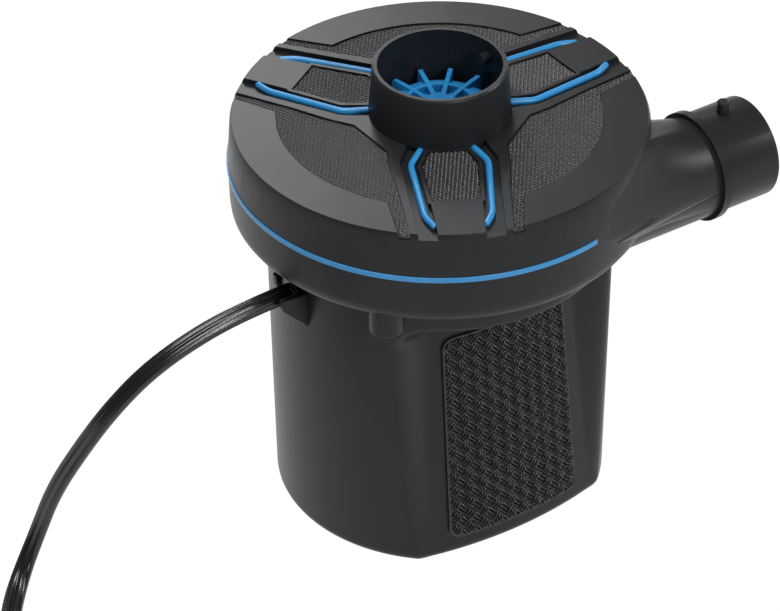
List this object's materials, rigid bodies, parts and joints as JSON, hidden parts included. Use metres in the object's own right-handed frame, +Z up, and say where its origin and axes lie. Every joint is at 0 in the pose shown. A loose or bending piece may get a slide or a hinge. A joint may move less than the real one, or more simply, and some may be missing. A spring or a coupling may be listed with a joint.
{
  "type": "electric air pump for inflatables",
  "caption": "Mains electric air pump with a round ribbed lid, an open intake collar over its fan, a side spout, rubber grip panels and a free cord with a plug.",
  "frame": {"origin": "on the pump's own upright axis, in the plane that its base rests on", "axes": "+Z up along the fan's axis, +X the way the air leaves the spout"},
  "size_m": [0.301, 0.1219, 0.1293],
  "materials": {
    "charcoal_plastic": "satin moulded, very fine texture",
    "blue_plastic": "satin moulded",
    "mesh_plastic": "satin, fine diagonal bumps",
    "grip_rubber": "satin, interlocking diagonal ribs",
    "cord_vinyl": "semi-gloss vinyl",
    "tie_plastic": "satin",
    "plug_brass": "smooth",
    "steel": "zinc plated",
    "screw_steel": "zinc plated",
    "copper": "smooth copper",
    "bronze": "sintered bronze",
    "ferrite": "matt sintered",
    "end_cap_plastic": "moulded nylon",
    "board_green": "lacquered",
    "diode_black": "moulded",
    "wire_red": "vinyl"
  },
  "bodies": {
    "housing": {"accent_band": "blue_plastic", "accent_strip_1": "blue_plastic", "accent_strip_2": "blue_plastic", "accent_strip_3": "blue_plastic", "accent_strip_4": "blue_plastic", "accent_strip_5": "blue_plastic", "accent_strip_6": "blue_plastic", "board_screws": "screw_steel", "body_shell": "charcoal_plastic", "carbon_brushes": "ferrite", "coil_tie": "tie_plastic", "cord_bushing": "cord_vinyl", "cord_coil": "cord_vinyl", "cord_lead": "cord_vinyl", "cord_tail": "cord_vinyl", "field_magnets": "ferrite", "grip_panel_far": "grip_rubber", "grip_panel_near": "grip_rubber", "housing_screws": "screw_steel", "inner_wires": "wire_red", "intake_collar": "charcoal_plastic", "lower_bearing": "bronze", "motor_can": "steel", "motor_end_cap": "end_cap_plastic", "motor_plate": "steel", "motor_screws": "screw_steel", "outlet_nozzle": "charcoal_plastic", "plate_screws": "screw_steel", "plug_blades": "plug_brass", "plug_body": "cord_vinyl", "rectifier_board": "board_green", "rectifier_diodes": "diode_black", "sector_mesh_1": "mesh_plastic", "sector_mesh_2": "mesh_plastic", "sector_mesh_3": "mesh_plastic", "switch_contacts": "copper", "switch_frame": "charcoal_plastic", "top_cover": "charcoal_plastic", "upper_bearing": "bronze", "volute_bowl": "charcoal_plastic", "window_mesh_1": "mesh_plastic", "window_mesh_2": "mesh_plastic", "window_mesh_3": "mesh_plastic"},
    "rotor": {"motor_shaft": "steel", "armature_core": "steel", "armature_winding": "copper", "commutator": "copper", "impeller": "blue_plastic"},
    "switch": {"switch_rocker": "diode_black"}
  },
  "joints": [
    {"name": "rotor_spin", "type": "hinge", "parent": "housing", "child": "rotor", "pos_m": [0, 0, 0.09], "axis": [0, 0, 1], "continuous": true},
    {"name": "switch_rock", "type": "hinge", "parent": "housing", "child": "switch", "pos_m": [0.04177, 0.0152, 0.058], "axis": [-0.342, 0.9397, 0], "range_deg": [0, 14]}
  ]
}
